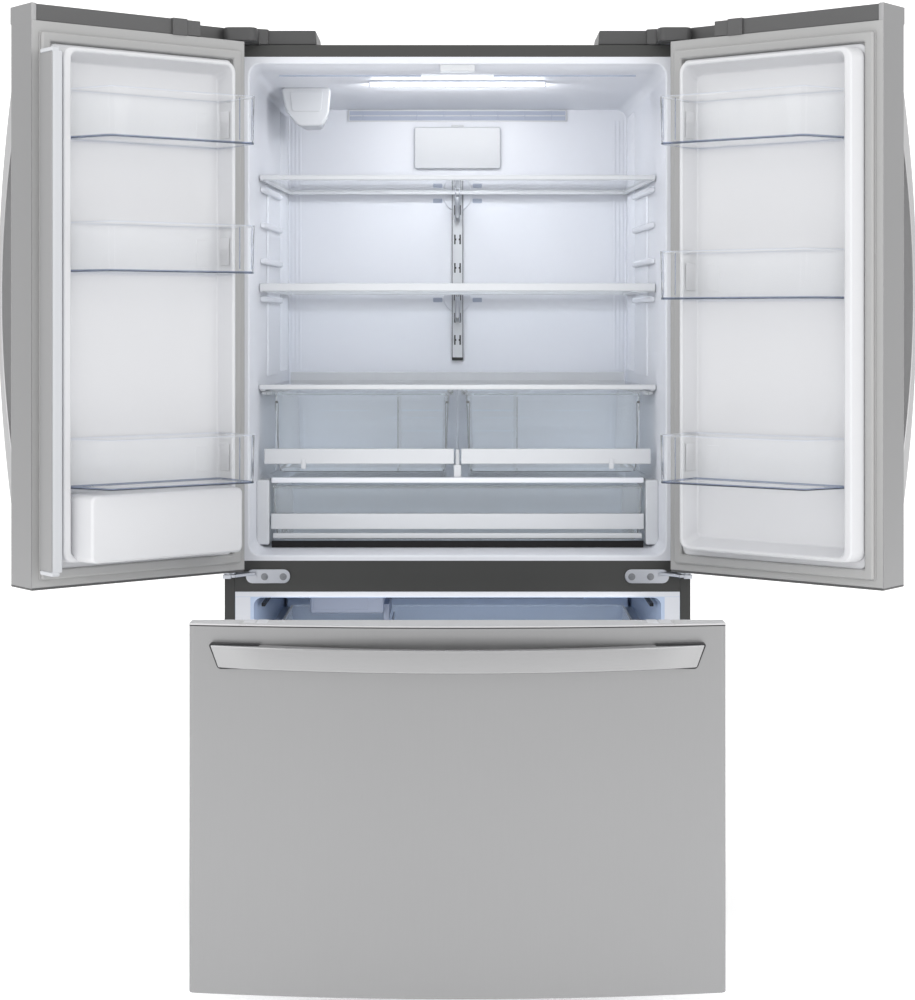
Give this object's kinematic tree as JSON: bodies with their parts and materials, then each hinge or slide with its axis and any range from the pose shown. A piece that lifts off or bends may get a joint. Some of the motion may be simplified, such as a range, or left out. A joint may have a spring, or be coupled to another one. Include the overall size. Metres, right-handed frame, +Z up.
{
  "type": "french door refrigerator",
  "caption": "French door refrigerator over a pull-out freezer drawer, shown with both doors open, with glass shelves, clear drawers and door bins.",
  "frame": {"origin": "centre of the bounding box at floor level, with both doors open and the freezer drawer out", "axes": "+X to the viewer's right, +Y from the front to the back, +Z up"},
  "size_m": [1.6974, 1.3678, 1.768],
  "materials": {
    "stainless": "satin",
    "dark_paint": "satin",
    "white_plastic": "gloss",
    "clear_plastic": "gloss",
    "shelf_glass": "gloss",
    "lamp_lens": "gloss",
    "grey_plastic": "satin",
    "grey_rubber": "matte",
    "dark_plastic": "satin",
    "black_plastic": "matte",
    "zinc_steel": "satin",
    "black_steel": "matte",
    "grey_steel": "matte",
    "bare_aluminium": "satin",
    "foam": "matte"
  },
  "bodies": {
    "cabinet": {"outer_case": "dark_paint", "insulation_foam": "foam", "fresh_liner": "white_plastic", "freezer_liner": "white_plastic", "centre_rail": "dark_paint", "base_frame": "black_steel", "machine_cover": "grey_steel", "compressor": "black_steel", "condenser": "black_steel", "evaporator": "bare_aluminium", "evaporator_cover": "white_plastic", "air_duct_panel": "white_plastic", "shelf_track": "white_plastic", "ceiling_lamp": "lamp_lens", "filter_housing": "white_plastic", "mullion_guide": "white_plastic", "upper_shelf": "shelf_glass", "middle_shelf": "shelf_glass", "crisper_cover": "shelf_glass", "pantry_frame": "white_plastic", "ice_maker": "grey_plastic", "upper_hinge_left": "zinc_steel", "upper_hinge_right": "zinc_steel", "hinge_cover_left": "dark_plastic", "hinge_cover_right": "dark_plastic", "lower_hinge_left": "zinc_steel", "lower_hinge_right": "zinc_steel"},
    "left_door": {"left_door_skin": "stainless", "left_door_core": "white_plastic", "left_door_gasket": "grey_rubber", "left_door_cap": "dark_plastic", "left_door_handle": "stainless", "left_lower_bin": "clear_plastic", "left_middle_bin": "clear_plastic", "left_upper_bin": "clear_plastic"},
    "right_door": {"right_door_skin": "stainless", "right_door_core": "white_plastic", "right_door_gasket": "grey_rubber", "right_door_cap": "dark_plastic", "right_door_handle": "stainless", "right_lower_bin": "clear_plastic", "right_middle_bin": "clear_plastic", "right_upper_bin": "clear_plastic"},
    "mullion_flap": {"mullion_flap": "grey_plastic"},
    "freezer_drawer": {"drawer_skin": "stainless", "drawer_core": "white_plastic", "drawer_gasket": "grey_rubber", "drawer_handle": "stainless", "freezer_basket": "white_plastic", "drawer_rails": "zinc_steel"},
    "freezer_tray": {"freezer_tray": "clear_plastic"},
    "pantry_drawer": {"pantry_drawer": "clear_plastic"},
    "condenser_fan": {"condenser_fan": "black_plastic"},
    "evaporator_fan": {"evaporator_fan": "black_plastic"},
    "crisper_left": {"crisper_left": "clear_plastic"},
    "humidity_slider_left": {"humidity_slider_left": "white_plastic"},
    "rear_roller_left": {"rear_roller_left": "black_plastic"},
    "crisper_right": {"crisper_right": "clear_plastic"},
    "humidity_slider_right": {"humidity_slider_right": "white_plastic"},
    "rear_roller_right": {"rear_roller_right": "black_plastic"}
  },
  "joints": [
    {"name": "left_door_swing", "type": "hinge", "parent": "cabinet", "child": "left_door", "pos_m": [-0.4392, -0.1084, 1.2], "axis": [0, 0, -1], "range_deg": [-141, 0]},
    {"name": "right_door_swing", "type": "hinge", "parent": "cabinet", "child": "right_door", "pos_m": [0.4392, -0.1084, 1.2], "axis": [0, 0, 1], "range_deg": [-141, 0]},
    {"name": "mullion_flap_turn", "type": "hinge", "parent": "left_door", "child": "mullion_flap", "pos_m": [-0.73735, -0.41237, 1.2], "axis": [0, 0, 1], "range_deg": [-90, 0]},
    {"name": "freezer_drawer_slide", "type": "slide", "parent": "cabinet", "child": "freezer_drawer", "axis": [0, -1, 0], "range_m": [-0.47, 0]},
    {"name": "freezer_tray_slide", "type": "slide", "parent": "cabinet", "child": "freezer_tray", "axis": [0, -1, 0], "range_m": [0, 0.38]},
    {"name": "pantry_drawer_slide", "type": "slide", "parent": "cabinet", "child": "pantry_drawer", "axis": [0, -1, 0], "range_m": [0, 0.32]},
    {"name": "crisper_left_slide", "type": "slide", "parent": "cabinet", "child": "crisper_left", "axis": [0, -1, 0], "range_m": [0, 0.3]},
    {"name": "humidity_slider_left_slide", "type": "slide", "parent": "crisper_left", "child": "humidity_slider_left", "axis": [-1, 0, 0], "range_m": [0, 0.018]},
    {"name": "rear_roller_left_spin", "type": "hinge", "parent": "cabinet", "child": "rear_roller_left", "pos_m": [-0.422, 0.624, 0.027], "axis": [1, 0, 0], "continuous": true},
    {"name": "crisper_right_slide", "type": "slide", "parent": "cabinet", "child": "crisper_right", "axis": [0, -1, 0], "range_m": [0, 0.3]},
    {"name": "humidity_slider_right_slide", "type": "slide", "parent": "crisper_right", "child": "humidity_slider_right", "axis": [1, 0, 0], "range_m": [0, 0.018]},
    {"name": "rear_roller_right_spin", "type": "hinge", "parent": "cabinet", "child": "rear_roller_right", "pos_m": [0.422, 0.624, 0.027], "axis": [1, 0, 0], "continuous": true},
    {"name": "condenser_fan_spin", "type": "hinge", "parent": "cabinet", "child": "condenser_fan", "pos_m": [0.03, 0.574, 0.15], "axis": [0, 1, 0], "continuous": true},
    {"name": "evaporator_fan_spin", "type": "hinge", "parent": "cabinet", "child": "evaporator_fan", "pos_m": [0, 0.499, 0.592], "axis": [0, 1, 0], "continuous": true}
  ]
}
